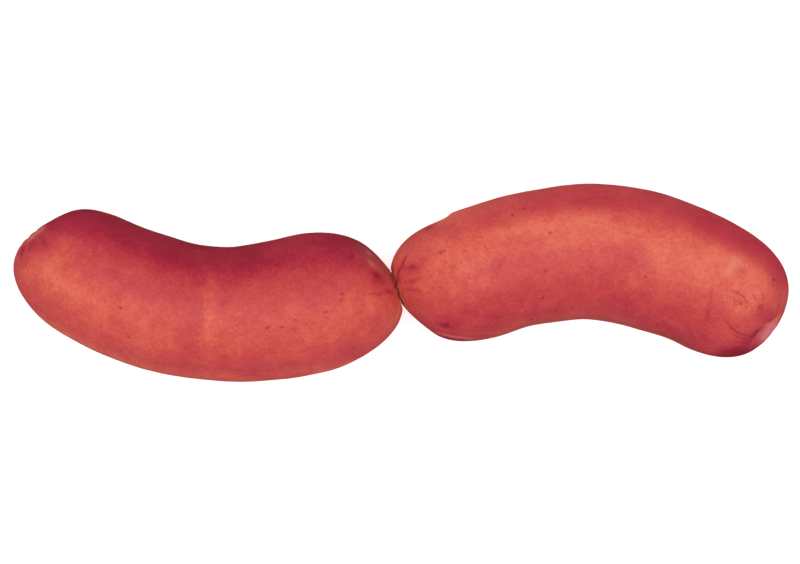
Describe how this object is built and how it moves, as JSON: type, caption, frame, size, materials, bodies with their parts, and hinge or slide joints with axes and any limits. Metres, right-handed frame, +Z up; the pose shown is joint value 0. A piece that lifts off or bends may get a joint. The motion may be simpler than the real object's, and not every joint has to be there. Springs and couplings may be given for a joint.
{
  "type": "string of sausage links",
  "caption": "String of plump smoked sausage links, gently curved and joined end to end by a tight twist in the casing.",
  "frame": {"origin": "on the surface the string lies on, under the middle of its box", "axes": "+X along the string from the left link to the right one, +Y to the side the right link bulges to, +Z up"},
  "size_m": [0.233, 0.0594, 0.04],
  "materials": {
    "smoked_casing": "satin, slightly moist smoked casing, mottled from orange to crimson",
    "twisted_casing": "satin, dry twisted casing, a little darker than the links"
  },
  "bodies": {
    "root": {"link_left": "smoked_casing", "link_right": "smoked_casing", "casing_twist": "twisted_casing"}
  },
  "joints": []
}
